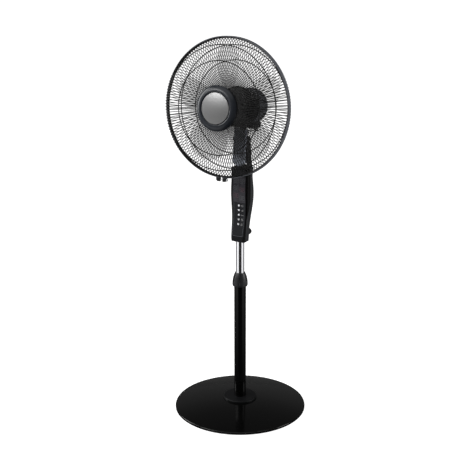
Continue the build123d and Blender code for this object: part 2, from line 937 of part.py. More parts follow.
def motor_rear_cover():
    inside = rear_cover_radius - motor_wall
    cup = fore_and_aft(rear_cover_radius, rear_cover_rear, rear_cover_front)
    cup = fillet(cup.edges().group_by(Axis.Y)[-1], rear_cover_round)
    cup -= rear_cover_cavity(0.0)
    middle = vent_front - vent_depth / 2
    slot = Pos(0, -middle, axis_height + rear_cover_radius) * Box(vent_width, vent_depth, 4 * motor_wall)
    # The lowest slots are left out, where the foot lies against the cover
    turns = [360.0 * (i + 0.5) / vent_count for i in range(vent_count)]
    for turn in turns:
        if cos(radians(turn)) > -0.6:
            cup -= slot.rotate(blow_axis, turn)
    for x in (-post_offset, post_offset):
        cup -= fore_and_aft(screw_radius + moving, rear_cover_rear - 1, rear_cover_rear + 2 * motor_wall, x)
    low = axis_height - rear_cover_radius - 1
    return cup - upright(crank_shaft_radius + moving, low, axis_height - inside / 2, link_pin_offset, crank_back)


def stator_screw_holes(radius, rear, front):
    hole = fore_and_aft(radius, rear, front, stator_screw_circle)
    return around_axis(hole, stator_screw_count, 45)


def stator_core():
    core = fore_and_aft_ring(stator_radius, stator_bore_radius, stator_rear, stator_front)
    middle = -(stator_rear + stator_front) / 2
    depth = stator_slot_radius - stator_bore_radius + 1
    slot = Pos(stator_bore_radius - 1 + depth / 2, middle, axis_height) * Box(
        depth, stator_front - stator_rear + 2, stator_slot_width
    )
    for cut in around_axis(slot, stator_slot_count):
        core -= cut
    for hole in stator_screw_holes(stator_screw_radius + seat, stator_rear - 1, stator_front + 1):
        core -= hole
    return core


def stator_windings():
    coils = []
    for rear in (stator_rear - seat - winding_length, stator_front + seat):
        coil = fore_and_aft_ring(winding_outer_radius, winding_inner_radius, rear, rear + winding_length)
        coils.append(fillet(coil.edges().filter_by(GeomType.CIRCLE), winding_round))
    return Compound(coils)


def bearing_bracket(facing):
    """Cup on one end of the stator that holds a bearing. Facing is 1 at the front and -1 at the rear."""
    face = stator_front if facing > 0 else stator_rear
    outer = face + facing * bracket_depth
    floor = outer - facing * bracket_wall
    nose = outer + facing * bracket_boss_length
    cup = fore_and_aft(stator_radius, *sorted((face, outer)))
    cup -= fore_and_aft(stator_radius - bracket_rim, *sorted((face - facing, floor)))
    cup += fore_and_aft(bracket_boss_radius, *sorted((floor, nose)))
    cup -= fore_and_aft(bearing_radius + seat, *sorted((floor - facing, nose + facing)))
    for hole in stator_screw_holes(stator_screw_radius + seat, *sorted((face - facing, outer + facing))):
        cup -= hole
    return cup


def front_bracket():
    return bearing_bracket(1)


def rear_bracket():
    bracket = bearing_bracket(-1)
    post_end = rear_cover_rear + motor_wall + seat
    for x in (-post_offset, post_offset):
        bracket += fore_and_aft(post_radius, post_end, rear_bracket_rear + bracket_wall / 2, x)
        bracket -= fore_and_aft(screw_radius + running, post_end - 1, post_end + screw_grip, x)
    return bracket


def shaft_bearings():
    length = bracket_wall + bracket_boss_length
    front = front_bracket_front - bracket_wall
    rear = rear_bracket_rear + bracket_wall
    bore = shaft_radius + running
    return Compound(
        [
            fore_and_aft_ring(bearing_radius, bore, front, front + length),
            fore_and_aft_ring(bearing_radius, bore, rear - length, rear),
        ]
    )


def stator_screws():
    shank = fore_and_aft(stator_screw_radius, rear_bracket_rear, front_bracket_front, stator_screw_circle)
    head_front = front_bracket_front + stator_screw_head
    head = fore_and_aft(stator_screw_head, front_bracket_front, head_front, stator_screw_circle)
    return Compound(around_axis(shank + head, stator_screw_count, 45))


def rear_cover_screws():
    screws = []
    for x in (-post_offset, post_offset):
        shank = fore_and_aft(screw_radius, rear_cover_rear, rear_cover_rear + screw_grip, x)
        head = fore_and_aft(screw_head_radius, rear_cover_rear - screw_head_height, rear_cover_rear, x)
        screws.append(shank + fillet(head.edges().group_by(Axis.Y)[-1], screw_head_height / 3))
    return Compound(screws)


# Rotor and blades, in the head's frame


def motor_shaft():
    shaft = fore_and_aft(shaft_radius, shaft_rear, shaft_front)
    pin_front = blade_hub_rear - drive_pin_radius
    return shaft - crosswise(
        drive_pin_radius + seat, -drive_pin_length, drive_pin_length, -pin_front, axis_height
    )


def rotor_core():
    return fore_and_aft_ring(rotor_radius, shaft_radius + seat, stator_rear, stator_front)


def drive_pin():
    pin_front = blade_hub_rear - drive_pin_radius
    return crosswise(drive_pin_radius, -drive_pin_length / 2, drive_pin_length / 2, -pin_front, axis_height)


def one_blade():
    """Twisted plate, trimmed to a rounded paddle, that reaches along +X from the blowing axis."""
    reach = 4 * blade_tip_round
    sections = []
    for radius, pitch in ((0.0, blade_root_pitch), (blade_tip_radius, blade_tip_pitch)):
        plane = Plane((radius, -blade_middle, axis_height), x_dir=(0, sin(radians(pitch)), cos(radians(pitch))),
                      z_dir=(1, 0, 0))
        sections.append(plane * Rectangle(reach, blade_thickness))
    plate = loft(sections)
    tip = Pos(blade_tip_radius - blade_tip_round, blade_sweep) * Circle(blade_tip_round)
    root = Pos(blade_root_reach, 0) * Circle(blade_root_round)
    paddle = make_hull(tip.edges() + root.edges())
    front_view = Plane((0, -blade_middle, axis_height), x_dir=(1, 0, 0), z_dir=(0, -1, 0))
    return plate & extrude(front_view * paddle, reach / 2, both=True)


def fan_blades():
    boss_bore = shaft_radius + seat
    hub = fore_and_aft(blade_hub_radius, blade_hub_rear, blade_hub_front)
    hub = fillet(hub.edges().group_by(Axis.Y)[0], blade_hub_wall)
    for blade in around_axis(one_blade(), blade_count, 90):
        hub += blade
    inside = blade_hub_radius - blade_hub_wall
    hub -= fore_and_aft(inside, blade_hub_rear - 4 * blade_hub_wall, blade_hub_front - blade_hub_floor)
    hub += fore_and_aft(blade_boss_radius, blade_hub_rear, blade_hub_front)
    return hub - fore_and_aft(boss_bore, blade_hub_rear - 1, blade_hub_front + 1)


def blade_nut():
    rear = blade_hub_front
    front = rear + blade_nut_length
    nut = fore_and_aft(blade_nut_radius, rear, front)
    nut = fillet(nut.edges().group_by(Axis.Y)[0], blade_nut_round)
    return nut - fore_and_aft(shaft_radius + seat, rear - 1, front - blade_nut_cap)


# Cage, in the head's frame


def cage_wires(hub, ring, shoulder, rim):
    """One wire's path as two smooth arcs, and the wires along it, many-sided to keep so many of them light."""
    flat = ThreePointArc(hub, ring, shoulder)
    plane = Plane((0, 0, axis_height), x_dir=(1, 0, 0), z_dir=(0, 0, -1))
    bend = TangentArc(shoulder, rim, tangent=flat % 1)
    path = plane * Wire([flat, bend])
    wire = sweep(Plane(path @ 0, z_dir=path % 0) * RegularPolygon(wire_radius, wire_sides), path)
    return flat, bend, around_axis(wire, wire_count)


def ring_wire(radius, front, thickness):
    return Pos(0, -front, axis_height) * Rot(X=90) * Torus(radius, thickness)


def beside_wire(arc, point, inward):
    """Radius and front distance of a ring wire that lies against the radial wires at a point."""
    along = arc % arc.param_at_point(point)
    step = wire_radius + ring_wire_radius + seat
    return point[0] + inward * along.Y * step, point[1] - inward * along.X * step


def outer_ring(bend, inward):
    """The ring wire past the shoulder, where the radial wires turn to the rim."""
    centre = bend.arc_center
    rise = sqrt(bend.radius**2 - (outer_ring_radius - centre.X) ** 2)
    point = (outer_ring_radius, centre.Y + inward * rise)
    return ring_wire(*beside_wire(bend, point, inward), ring_wire_radius)


def front_grille():
    hub = (front_hub_radius, front_hub_front)
    ring = (front_ring_radius, front_ring_front)
    shoulder = (cage_shoulder_radius, front_shoulder_front)
    rim_front = cage_middle + seat + rim_wire_radius
    rim = (rim_radius, rim_front + rim_wire_radius + wire_radius + seat)
    flat, bend, solids = cage_wires(hub, ring, shoulder, rim)
    for point in (hub, ring):
        solids.append(ring_wire(*beside_wire(flat, point, 1), ring_wire_radius))
    solids.append(outer_ring(bend, 1))
    solids.append(ring_wire(rim_radius, rim_front, rim_wire_radius))
    return Compound(solids)


def rear_grille():
    hub = (rear_hub_radius, plate_front + wire_radius + seat)
    ring = (rear_ring_radius, rear_ring_front)
    shoulder = (cage_shoulder_radius, rear_shoulder_front)
    rim_front = cage_middle - seat - rim_wire_radius
    rim = (rim_radius, rim_front - rim_wire_radius - wire_radius - seat)
    flat, bend, solids = cage_wires(hub, ring, shoulder, rim)
    solids.append(ring_wire(*beside_wire(flat, ring, -1), ring_wire_radius))
    solids.append(outer_ring(bend, -1))
    solids.append(ring_wire(rim_radius, rim_front, rim_wire_radius))
    solids.append(
        fore_and_aft_ring(rear_plate_radius, nut_boss_radius + moving, front_cover_front, plate_front)
    )
    return Compound(solids)


def grille_nut():
    front = plate_front + grille_nut_thickness
    nut = fore_and_aft_ring(grille_nut_radius, nut_boss_radius + seat, plate_front, front)
    grip = fore_and_aft(wire_radius * 3, plate_front - 1, front + 1, grille_nut_radius + wire_radius)
    for cut in around_axis(grip, grille_nut_grips):
        nut -= cut
    return nut


def grille_hoop():
    rear = cage_middle - hoop_width / 2
    front = cage_middle + hoop_width / 2
    lip = hoop_inner - hoop_lip
    band = turned_on_axis(
        Polyline(
            (hoop_radius, rear),
            (hoop_radius, front),
            (lip, front),
            (lip, front - hoop_wall),
            (hoop_inner, front - hoop_wall),
            (hoop_inner, rear + hoop_wall),
            (lip, rear + hoop_wall),
            (lip, rear),
            close=True,
        )
    )
    level = axis_height - hoop_radius
    lug_out = hoop_gap / 2 + lug_thickness
    lugs = block(
        -lug_out, lug_out,
        -cage_middle - lug_width / 2, -cage_middle + lug_width / 2,
        level - lug_height, level + hoop_wall / 2,
    )
    lugs = fillet(lugs.edges().filter_by(Axis.Y).group_by(Axis.Z)[0], lug_thickness / 2)
    band += lugs - fore_and_aft(hoop_inner, rear, front)
    slit_top = level + 4 * hoop_wall
    band -= block(
        -hoop_gap / 2, hoop_gap / 2, -front - 1, -rear + 1, level - lug_height - 1, slit_top
    )
    screw_level = level - lug_height / 2
    return band - crosswise(
        hoop_screw_radius + seat, -lug_out - 1, lug_out + 1, -cage_middle, screw_level
    )


def hoop_screw():
    lug_out = hoop_gap / 2 + lug_thickness
    level = axis_height - hoop_radius - lug_height / 2
    shank = crosswise(hoop_screw_radius, -lug_out, lug_out, -cage_middle, level)
    head = crosswise(
        hoop_screw_head_radius, lug_out, lug_out + hoop_screw_head_height, -cage_middle, level
    )
    return shank + fillet(head.edges().group_by(Axis.X)[-1], hoop_screw_head_height / 3)


def badge_screw_places():
    turns = [radians(90 + 360.0 * i / badge_screw_count) for i in range(badge_screw_count)]
    return [(badge_screw_circle * cos(a), axis_height + badge_screw_circle * sin(a)) for a in turns]


def badge_clamp_span():
    """Back and front of the plate behind the wires."""
    front = front_hub_front - wire_radius - 2 * ring_wire_radius - moving
    return front - badge_clamp_thickness, front


def badge_ring():
    groove_radius = badge_disc_radius + badge_groove
    lip = groove_radius + badge_groove
    shoulder = badge_back + badge_edge
    bevel = ((lip + badge_radius) / 2 + badge_groove, (badge_front + shoulder) / 2 + badge_groove / 2)
    ring = turned_on_axis(
        Polyline(
            (0, badge_floor_back),
            (0, badge_floor_front),
            (groove_radius, badge_floor_front),
            (groove_radius, badge_front - badge_groove / 2),
            (lip, badge_front),
        ),
        ThreePointArc((lip, badge_front), bevel, (badge_radius, shoulder)),
        Polyline(
            (badge_radius, shoulder),
            (badge_radius, badge_back),
            (groove_radius, badge_back),
            (groove_radius, badge_floor_back),
            (0, badge_floor_back),
        ),
    )
    clamp_front = badge_clamp_span()[1]
    for x, up in badge_screw_places():
        ring += fore_and_aft(badge_boss_radius, clamp_front + seat, badge_floor_back + seat, x, up)
        ring -= fore_and_aft(screw_radius + running, clamp_front - 1, badge_floor_back + seat, x, up)
    return ring


def badge_disc():
    back = badge_floor_front
    middle = back + badge_disc_rise + badge_disc_dome
    dome_radius = (badge_disc_radius**2 + badge_disc_dome**2) / (2 * badge_disc_dome)
    dome = Pos(0, dome_radius - middle, axis_height) * Sphere(dome_radius)
    return fore_and_aft(badge_disc_radius, back, middle + 1) & dome


def badge_clamp():
    back, front = badge_clamp_span()
    plate = fore_and_aft(badge_clamp_radius, back, front)
    for x, up in badge_screw_places():
        plate -= fore_and_aft(screw_radius + seat, back - 1, front + 1, x, up)
    return plate


def badge_screws():
    back = badge_clamp_span()[0]
    screws = []
    for x, up in badge_screw_places():
        shank = fore_and_aft(screw_radius, back, badge_floor_back - seat, x, up)
        screws.append(shank + fore_and_aft(screw_head_radius, back - screw_head_height, back, x, up))
    return Compound(screws)


standing_parts = (
    base_cover, base_weight, base_feet, base_washer, base_bolt, hub_flange, tube_plug, outer_tube,
    tube_collet, height_collar, inner_tube, tube_guide, stem_bracket, control_front_cover,
    control_rear_cover, display_lens, display_module, control_board, housing_screws, cord_bush,
    lock_knob, tilt_pin, tilt_nut, tilt_knob,
)
head_parts = (
    neck_block, neck_cover, motor_foot, swing_spindle, swing_motor, swing_crank, swing_link,
    motor_front_cover, motor_rear_cover, stator_core, stator_windings, front_bracket, rear_bracket,
    shaft_bearings, stator_screws, rear_cover_screws, motor_shaft, rotor_core, drive_pin, fan_blades,
    blade_nut, front_grille, rear_grille, grille_nut, grille_hoop, hoop_screw, badge_ring, badge_disc,
    badge_clamp, badge_screws,
)

os.makedirs("parts", exist_ok=True)
for make in standing_parts:
    export_step(make(), f"parts/{make.__name__}.step")
for make in head_parts:
    export_step(head_place * make(), f"parts/{make.__name__}.step")
for name, height in zip(button_names, button_heights()):
    export_step(push_button(height), f"parts/{name}.step")
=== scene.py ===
# %% [markdown]
# # A pedestal fan, dressed in Blender
# The imported model already has every piece of the fan in its right place: base, pole, control housing,
# motor, blades and cage. Blender adds what a solid model can't show, which is finish. Loading the model
# first gives a fixed frame to work on.

# %% Load the imported model
import json
import math

import bmesh
import bpy
from mathutils import Matrix, Vector
from mathutils.bvhtree import BVHTree


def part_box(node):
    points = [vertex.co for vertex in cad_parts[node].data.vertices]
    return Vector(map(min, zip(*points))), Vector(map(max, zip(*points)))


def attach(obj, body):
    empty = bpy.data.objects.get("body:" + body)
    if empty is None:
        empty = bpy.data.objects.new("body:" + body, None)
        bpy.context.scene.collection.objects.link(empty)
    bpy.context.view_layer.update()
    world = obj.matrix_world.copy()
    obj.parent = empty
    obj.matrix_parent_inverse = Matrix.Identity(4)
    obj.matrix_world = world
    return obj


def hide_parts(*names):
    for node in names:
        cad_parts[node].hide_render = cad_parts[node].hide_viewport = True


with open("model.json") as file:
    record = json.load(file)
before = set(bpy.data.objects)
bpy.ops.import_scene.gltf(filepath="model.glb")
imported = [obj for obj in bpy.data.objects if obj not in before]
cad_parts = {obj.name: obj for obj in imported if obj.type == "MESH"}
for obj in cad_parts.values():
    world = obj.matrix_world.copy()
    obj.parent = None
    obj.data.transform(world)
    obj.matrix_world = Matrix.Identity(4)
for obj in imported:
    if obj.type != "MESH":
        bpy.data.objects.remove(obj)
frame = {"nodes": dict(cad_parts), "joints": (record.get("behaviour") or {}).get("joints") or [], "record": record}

scene = bpy.context.scene
nodes = frame["nodes"]
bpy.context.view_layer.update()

# %% [markdown]
# The head leans back, so the cage is easier to draw in a frame of its own than in the world's. The joint
# that spins the blades gives that frame: its origin is where the motor's axis starts, its third axis is
# the way the fan blows, and its first runs straight across. One matrix then takes a finished mesh there.

# %% The head's own frame
blade_spin = next(joint for joint in frame["joints"] if joint["name"] == "blade_spin")
hub_point = Vector(blade_spin["pos_m"])
blow = Vector(blade_spin["axis"])
across = Vector((1, 0, 0))
lean = Matrix((across, blow.cross(across), blow)).transposed()
cage_frame = Matrix.Translation(hub_point) @ lean.to_4x4()
print("the head leans back by", round(math.degrees(math.asin(blow.z)), 2), "degrees")

# %% [markdown]
# A camera is placed as the photographer's was: above the fan's head, looking down, and to the right as
# seen from the front. A long lens keeps the pole's sides parallel. Two level directions, towards the
# camera and to its right, also serve the floor and the black card later.

# %% Camera
camera_bearing = math.radians(30.3)
camera_pitch = math.radians(18.47)
camera_distance = 3.372
camera_height = 1.684
image_width = 470
focal_pixels = 1200
sideways_pixels = 5.1
sensor_width = 36
facing = Vector((math.sin(camera_bearing), -math.cos(camera_bearing), 0))
aside = Vector((math.cos(camera_bearing), math.sin(camera_bearing), 0))

camera_data = bpy.data.cameras.new("camera")
camera = bpy.data.objects.new("camera", camera_data)
scene.collection.objects.link(camera)
camera.location = facing * camera_distance + Vector((0, 0, camera_height))
camera.rotation_euler = (math.pi / 2 - camera_pitch, 0, camera_bearing)
camera_data.sensor_width = sensor_width
camera_data.lens = focal_pixels / image_width * sensor_width
camera_data.shift_x = -sideways_pixels / image_width
camera_data.clip_end = 200
scene.camera = camera
print("lens", round(camera_data.lens, 1), "mm")

# %% [markdown]
# Shaders are easier to read as sums than as boxes and wires. Value wraps a socket, so that Python's own
# operators add the Math nodes: 1 - mask is a node, and so is mask * 0.5. Numbers alone stay plain Python.

# %% Sums of sockets


class Value:
    """What comes out of a node's socket."""

    def __init__(self, finish, socket):
        self.finish = finish
        self.socket = socket

    def math(self, operation, *inputs):
        return self.finish.add("ShaderNodeMath", {"operation": operation}, dict(enumerate(inputs)))

    def __add__(self, other):
        return self.math("ADD", self, other)

    def __sub__(self, other):
        return self.math("SUBTRACT", self, other)

    def __rsub__(self, other):
        return self.math("SUBTRACT", other, self)

    def __mul__(self, other):
        return self.math("MULTIPLY", self, other)

    def __truediv__(self, other):
        return self.math("DIVIDE", self, other)

    def __abs__(self):
        return self.math("ABSOLUTE", self)

    __radd__ = __add__
    __rmul__ = __mul__

    def clamp(self):
        return self.finish.add("ShaderNodeClamp", {}, {"Value": self})

    def rise(self, start, run):
        """0 up to a start, then an even rise to 1 over a run."""
        return ((self - start) / run).clamp()


print("sockets can be added, subtracted, multiplied and divided")

# %% [markdown]
# A Finish is the node tree of one material. Its add method makes any node from a type, its settings and
# what goes into its sockets, and the short methods after it are the nodes that most finishes here need.
# Textures read Object coordinates, which are metres in the fan's own frame, so grain has its real size.

# %% One finish


class Finish:
    """The node tree of a material, or of the sky."""

    def __init__(self, owner, output="ShaderNodeOutputMaterial"):
        owner.use_nodes = True
        self.owner = owner
        self.tree = owner.node_tree
        self.tree.nodes.clear()
        self.output = self.tree.nodes.new(output)

    def add(self, kind, settings=None, inputs=None, output=0):
        """One node: its settings first, then numbers or links for its sockets."""
        node = self.tree.nodes.new(kind)
        for name, setting in (settings or {}).items():
            if name == "stops":
                self.set_stops(node.color_ramp, setting)
            else:
                setattr(node, name, setting)
        for name, value in (inputs or {}).items():
            socket = node.inputs[name]
            if isinstance(value, Value):
                self.tree.links.new(value.socket, socket)
            else:
                socket.default_value = value
        return Value(self, node.outputs[output])

    @staticmethod
    def set_stops(ramp, stops):
        while len(ramp.elements) < len(stops):
            ramp.elements.new(1.0)
        for element, (place, colour) in zip(ramp.elements, stops):
            element.position = place
            element.color = colour

    def place(self):
        return self.add("ShaderNodeTexCoord", output="Object")

    def part(self, axis, where=None):
        """One coordinate of a place on the piece."""
        return self.add("ShaderNodeSeparateXYZ", {}, {0: where or self.place()}, output=axis)

    def vector(self, operation, *inputs, output="Vector"):
        settings = {"operation": operation}
        return self.add("ShaderNodeVectorMath", settings, dict(enumerate(inputs)), output)

    def noise(self, scale, detail=2.0, roughness=0.5):
        """Soft noise from 0 to 1. Scale is in bumps per metre."""
        inputs = {"Vector": self.place(), "Scale": scale, "Detail": detail, "Roughness": roughness}
        return self.add("ShaderNodeTexNoise", {}, inputs)

    def mix(self, factor, first, second):
        """One colour to another, by a factor."""
        inputs = {"Factor": factor, "A": first, "B": second}
        return self.add("ShaderNodeMix", {"data_type": "RGBA"}, inputs, output=2)

    def bump(self, height, strength, distance):
        inputs = {"Height": height, "Strength": strength, "Distance": distance}
        return self.add("ShaderNodeBump", {}, inputs)

    def shown(self, shader):
        """Ends the tree in a shader and gives back the material or the sky."""
        self.tree.links.new(shader.socket, self.output.inputs["Surface"])
        return self.owner

    def surface(self, **sockets):
        """A Principled shader, from its sockets' names in small letters with underscores."""
        inputs = {}
        for name, value in sockets.items():
            inputs[name.replace("_", " ").title().replace("Ior", "IOR")] = value
        return self.shown(self.add("ShaderNodeBsdfPrincipled", {}, inputs))


def new_finish(name):
    return Finish(bpy.data.materials.new(name))


def grey(level, tint=(1.0, 1.0, 1.0)):
    """A grey as a shader's colour, tinted or not."""
    return tuple(level * share for share in tint) + (1.0,)


print("a mid grey is", grey(0.5))

# %% [markdown]
# The photograph has a pure white ground. The floor here is pale and takes the fan's shadow, and an even
# glow lifts it to white for the camera. A low wall far away closes the ground behind the fan in views
# near the horizon. Reflections see a bright floor in front of the fan, and a dimmer one behind the fan and
# far off, as in a dark studio, because a gloss-black base mirrors its surroundings. Close to the base the
# floor that reflections see is darker still, which is a painted shadow at the fan's foot.

# %% Floor and wall
floor_radius = 30.0
wall_height = 6.5
ground_sides = 96
ground_grey = 0.55
floor_glow = 0.86
wall_glow = 0.14
mirror_glow = 0.45
glow_behind = 0.22
glow_far_off = 0.22
# How bright the painted shadow at the fan's foot leaves the floor in reflections
painted_shadow_glow = 0.18
# Where each change of the floor's reflection starts and how far it takes, in metres
front_starts, front_takes = -0.2, 0.6
far_starts, far_takes = 2.5, 4.0
painted_shadow_starts, painted_shadow_takes = 0.3, 0.9


def stage_mesh(name, verts, faces, material):
    mesh = bpy.data.meshes.new(name)
    mesh.from_pydata(verts, [], faces)
    piece = bpy.data.objects.new(name, mesh)
    scene.collection.objects.link(piece)
    mesh.materials.append(material)
    return piece


def ground_finish():
    finish = new_finish("pale_ground")
    camera_ray, glossy_ray, clear_ray = (
        finish.add("ShaderNodeLightPath", output=f"Is {ray} Ray")
        for ray in ("Camera", "Glossy", "Transmission")
    )
    place = finish.place()
    ahead = finish.vector("DOT_PRODUCT", place, facing, output="Value")
    reach = finish.vector("LENGTH", place, output="Value")
    front = glow_behind + (1 - glow_behind) * ahead.rise(front_starts, front_takes)
    # Painted shadow: the floor that reflections see darkens close to the fan's base.
    outside_painted_shadow = painted_shadow_glow + (1 - painted_shadow_glow) * reach.rise(painted_shadow_starts, painted_shadow_takes)
    far = reach.rise(far_starts, far_takes)
    mirrored = (glossy_ray + clear_ray) * ((1 - far) * front * outside_painted_shadow + far * glow_far_off)
    plain = 1 - glossy_ray - clear_ray
    shade = finish.mix((plain + mirrored).clamp(), grey(0.0), grey(ground_grey))
    diffuse = finish.add("ShaderNodeBsdfDiffuse", {}, {"Color": shade})
    on_wall = finish.part("Z", place).clamp()
    strength = camera_ray * (floor_glow + on_wall * wall_glow) + mirrored * mirror_glow
    glow = finish.add("ShaderNodeEmission", {}, {"Color": grey(1.0), "Strength": strength})
    return finish.shown(finish.add("ShaderNodeAddShader", {}, {0: diffuse, 1: glow}))


angles = [math.tau * i / ground_sides for i in range(ground_sides)]
edge = [(floor_radius * math.cos(angle), floor_radius * math.sin(angle)) for angle in angles]
ground_verts = [(x, y, height) for height in (0.0, wall_height) for x, y in edge]
ground_faces = [tuple(range(ground_sides))]
for i in range(ground_sides):
    after = (i + 1) % ground_sides
    ground_faces.append((i, ground_sides + i, ground_sides + after, after))
stage_mesh("floor_and_wall", ground_verts, ground_faces, ground_finish())
print("floor", 2 * floor_radius, "m across, wall", wall_height, "m high")

# %% [markdown]
# The sky is dim for the same reason. It is a ramp over height, a little brighter in the middle than at the
# top, so that the tilted faces of the fan still catch some light. A world has a node tree like a material.

# %% Sky
# How bright the sky is at the sine of a height above the horizon
sky_levels = ((0.0, 0.15), (0.42, 0.18), (0.62, 0.12), (1.0, 0.10))

sky = Finish(bpy.data.worlds.new("sky"), "ShaderNodeOutputWorld")
upwards = sky.part("Z", sky.add("ShaderNodeTexCoord", output="Generated"))
stops = [(height, grey(level)) for height, level in sky_levels]
tone = sky.add("ShaderNodeValToRGB", {"stops": stops}, {"Fac": upwards})
scene.world = sky.shown(sky.add("ShaderNodeBackground", {}, {"Color": tone}))
print("sky levels:", [level for height, level in sky_levels])

# %% [markdown]
# The light is an even one from above, two tall soft boxes, one at each side, and a smaller box high on the
# left for the faces that look up. The tall boxes are what the chrome tube shows as bright bands. Bearings
# are in degrees to the right of the camera, as a photographer would note them.

# %% Lamps
aim_point = Vector((0, 0, 0.75))
even_light_strength = 1.1
even_light_softness = math.radians(70)
even_light_lean = math.radians(24)
even_light_turn = math.radians(-30)


def soft_box(name, bearing, distance, height, width, tall, watts):
    lamp = bpy.data.lights.new(name, "AREA")
    lamp.shape = "RECTANGLE"
    lamp.size = width
    lamp.size_y = tall
    lamp.energy = watts
    box = bpy.data.objects.new(name, lamp)
    scene.collection.objects.link(box)
    angle = camera_bearing + math.radians(bearing)
    box.location = (distance * math.sin(angle), -distance * math.cos(angle), height)
    box.rotation_euler = (aim_point - box.location).to_track_quat("-Z", "Y").to_euler()


soft_box("soft_box_left", bearing=-104, distance=2.6, height=1.5, width=1.2, tall=2.2, watts=62)
soft_box("soft_box_right", bearing=78, distance=2.6, height=1.4, width=1.2, tall=2.2, watts=46)
soft_box("soft_box_top", bearing=-62, distance=2.4, height=2.0, width=1.2, tall=0.7, watts=34)

sun = bpy.data.lights.new("even_light", "SUN")
sun.energy = even_light_strength
sun.angle = even_light_softness
even_light = bpy.data.objects.new("even_light", sun)
scene.collection.objects.link(even_light)
even_light.rotation_euler = (even_light_lean, 0, camera_bearing + even_light_turn)
print("lamps:", [lamp.name for lamp in bpy.data.lights])

# %% [markdown]
# A chrome tube between two bright boxes still needs something dark to show in its middle. A photographer
# uses a black flag. Here it is a black card on the floor in front, which only reflections see.

# %% Black card
card_near, card_far = 0.22, 3.0
card_spread = 0.78
card_lift = Vector((0, 0, 0.004))


def card_finish():
    finish = new_finish("black_card")
    dark = finish.mix(finish.noise(20.0), grey(0.004), grey(0.006))
    return finish.surface(base_color=dark, roughness=0.9)


card_corners = [
    tuple((facing + aside * side * card_spread) * ahead + card_lift)
    for ahead, side in ((card_near, -1), (card_near, 1), (card_far, 1), (card_far, -1))
]
card = stage_mesh("black_card", card_corners, [(0, 1, 2, 3)], card_finish())
card.visible_camera = False
card.visible_diffuse = False
card.visible_shadow = False
card.visible_transmission = False
print("black card", round(2 * card_far * card_spread, 2), "m wide at its far end")

# %% [markdown]
# Most of the fan is black, and what tells the pieces apart is how each shines. The base cover and the
# outer tube are the glossiest. A moulded gloss has a slow haze, and paint on a tube has the fine ripple
# that painters call orange peel, so each has noise of its own scale in its colour, roughness and bump.

# %% Gloss black


def gloss_black():
    finish = new_finish("gloss_black_moulding")
    haze = finish.noise(9.0, 3.0)
    fine = finish.noise(900.0)
    return finish.surface(
        base_color=finish.mix(haze, grey(0.0010), grey(0.0018)),
        roughness=0.07 + haze * 0.05 + fine * 0.02,
        specular_ior_level=0.20,
        normal=finish.bump(haze, 0.02, 0.001),
    )


def gloss_paint():
    finish = new_finish("gloss_black_paint")
    peel = finish.noise(420.0)
    cloud = finish.noise(12.0)
    return finish.surface(
        base_color=finish.mix(cloud, grey(0.0010), grey(0.0018)),
        roughness=0.10 + cloud * 0.06,
        specular_ior_level=0.16,
        normal=finish.bump(peel, 0.03, 0.0002),
    )


finishes = {"gloss_black": gloss_black(), "black_tube": gloss_paint()}
print("finishes:", sorted(finishes))

# %% [markdown]
# The housing, the motor covers, the collar and the neck are moulded with the fine grain of a spark-eroded
# mould. They differ only in how dark, how blue and how shiny they are, so one function makes them all. A
# few pieces are lighter or darker than others of the same plastic, and those get a finish by their own name.
# The housing's rear cover is lighter as a painted highlight, and the motor's front cover darker as painted shade.

# %% Moulded plastic
cool = (0.94, 0.98, 1.10)
slate = (0.74, 0.94, 1.30)
pale_slate = (0.89, 0.97, 1.14)


def mould_grain(finish):
    """The mould's fine grain, and the slow unevenness of the plastic."""
    return finish.noise(2600.0, 2.0, 0.6), finish.noise(28.0, 3.0)


def grained_plastic(name, low, high, tint, shine, gloss):
    finish = new_finish(name)
    grain, cloud = mould_grain(finish)
    return finish.surface(
        base_color=finish.mix(cloud, grey(low, tint), grey(high, tint)),
        roughness=shine + grain * 0.10 + cloud * 0.06,
        specular_ior_level=gloss,
        normal=finish.bump(grain, 0.10, 0.0002),
    )


finishes |= {
    "black_plastic": grained_plastic("grained_black_plastic", 0.006, 0.010, cool, shine=0.40, gloss=0.2),
    "slate_plastic": grained_plastic("slate_satin_plastic", 0.010, 0.015, slate, shine=0.24, gloss=0.32),
}
own_finishes = {
    # Painted highlight: the housing's rear cover is a lighter charcoal, for the highlight along its side.
    "control_rear_cover": grained_plastic(
        "rear_plastic_painted_highlight", 0.018, 0.024, cool, shine=0.42, gloss=0.2
    ),
    "height_collar": grained_plastic("satin_collar_plastic", 0.008, 0.012, cool, shine=0.30, gloss=0.35),
    # Painted shade: the motor's front cover is darker than the black plastic, for the shade between the badge and
    # the motor.
    "motor_front_cover": grained_plastic("motor_plastic_painted_shade", 0.003, 0.005, cool, shine=0.40, gloss=0.2),
    "motor_rear_cover": grained_plastic(
        "charcoal_motor_plastic", 0.060, 0.074, cool, shine=0.40, gloss=0.3
    ),
    "hub_flange": grained_plastic("satin_flange_plastic", 0.003, 0.005, cool, shine=0.34, gloss=0.10),
    "neck_cover": grained_plastic("slate_neck_plastic", 0.22, 0.26, pale_slate, shine=0.34, gloss=0.4),
    "stem_bracket": grained_plastic("black_painted_casting", 0.005, 0.008, cool, shine=0.36, gloss=0.2),
}
print("pieces with a plastic of their own:", sorted(own_finishes))

# %% [markdown]
# The housing's front cover has a charcoal face with a darker strip at its foot. Where it bends to the sides
# it turns glossier, and its colour there is painted gloss black as shade, where the rounded sides turn away
# from the light. That is one moulding, so it is one material: masks from the distance to the middle
# and from the height mix the two blacks.

# %% Front of the housing
face_half_width = 0.0222
face_blend = 0.0012
foot_strip = 0.018
foot_share = 0.45
panel_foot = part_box("control_front_cover")[0][2] + foot_strip


